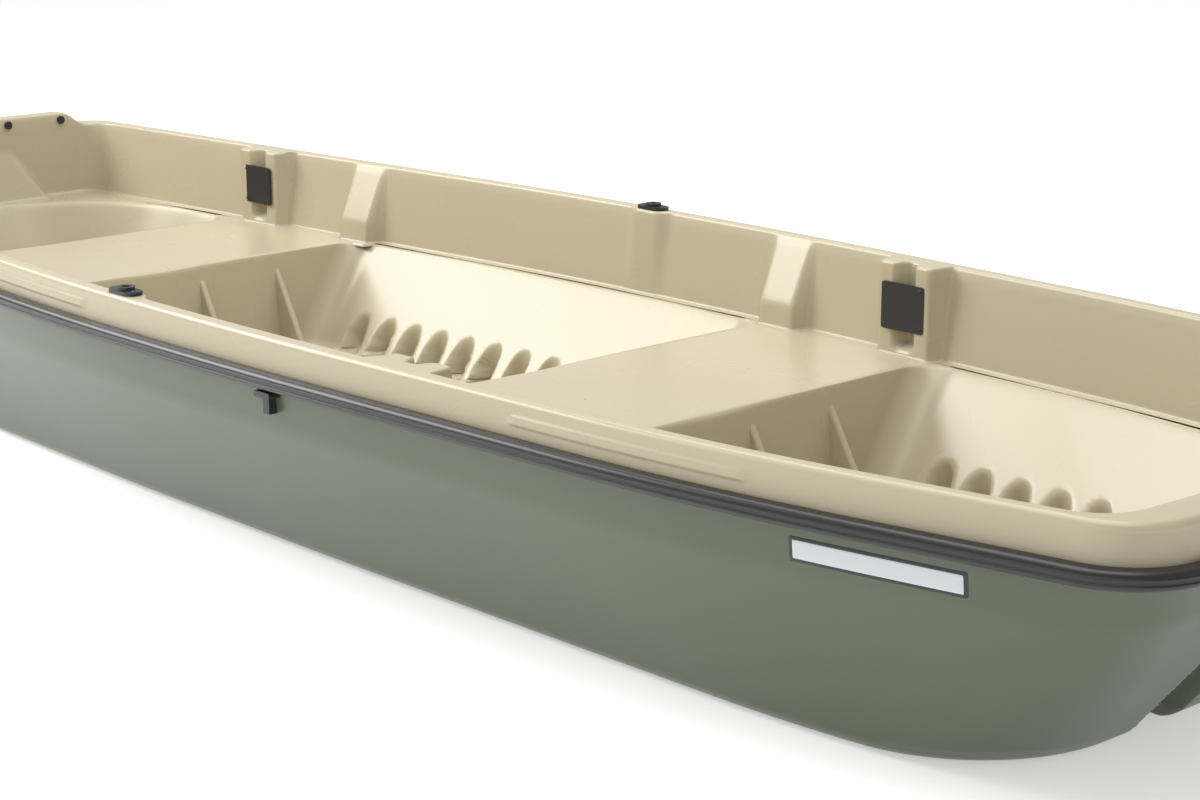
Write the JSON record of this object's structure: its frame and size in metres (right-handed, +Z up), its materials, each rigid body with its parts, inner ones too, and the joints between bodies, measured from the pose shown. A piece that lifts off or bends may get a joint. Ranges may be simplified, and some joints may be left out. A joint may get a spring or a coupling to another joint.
{
  "type": "twin-sheet plastic jon boat",
  "caption": "Flat-bottomed open jon boat with a raised transom, moulded thwart benches, rod holders and a black rub rail.",
  "frame": {"origin": "on the ground under the middle of the boat: centre of the footprint of its box", "axes": "+X forward to the bow, +Y to port, +Z up"},
  "size_m": [3.6798, 1.25, 0.413],
  "materials": {
    "green_plastic": "moulded polyethylene, olive green, semi-gloss with a fine orange peel",
    "tan_plastic": "moulded polyethylene, tan, semi-gloss with a fine grain on the flats",
    "rail_vinyl": "extruded black vinyl, glossy",
    "black_plastic": "moulded black plastic, satin",
    "label": "blank pale label with a black border"
  },
  "bodies": {
    "root": {"aft_bench": "tan_plastic", "bow_eye": "black_plastic", "bow_handle": "black_plastic", "bow_liner": "tan_plastic", "drain_plug": "black_plastic", "floor_pan": "tan_plastic", "forward_bench": "tan_plastic", "gunwale_bow": "tan_plastic", "gunwale_port": "tan_plastic", "gunwale_starboard": "tan_plastic", "gunwale_stern": "tan_plastic", "handle_bolt_caps": "black_plastic", "motor_plate_inner": "black_plastic", "motor_plate_outer": "black_plastic", "name_label_port": "label", "name_label_starboard": "label", "oarlock_socket_port": "black_plastic", "oarlock_socket_starboard": "black_plastic", "outer_hull": "green_plastic", "rail_hook_port": "black_plastic", "rail_hook_starboard": "black_plastic", "rod_pad_aft_port": "black_plastic", "rod_pad_aft_starboard": "black_plastic", "rod_pad_forward_port": "black_plastic", "rod_pad_forward_starboard": "black_plastic", "rub_rail": "rail_vinyl", "side_wall_port": "tan_plastic", "side_wall_starboard": "tan_plastic", "stern_deck": "tan_plastic", "transom_handle_port": "black_plastic", "transom_handle_starboard": "black_plastic"}
  },
  "joints": []
}
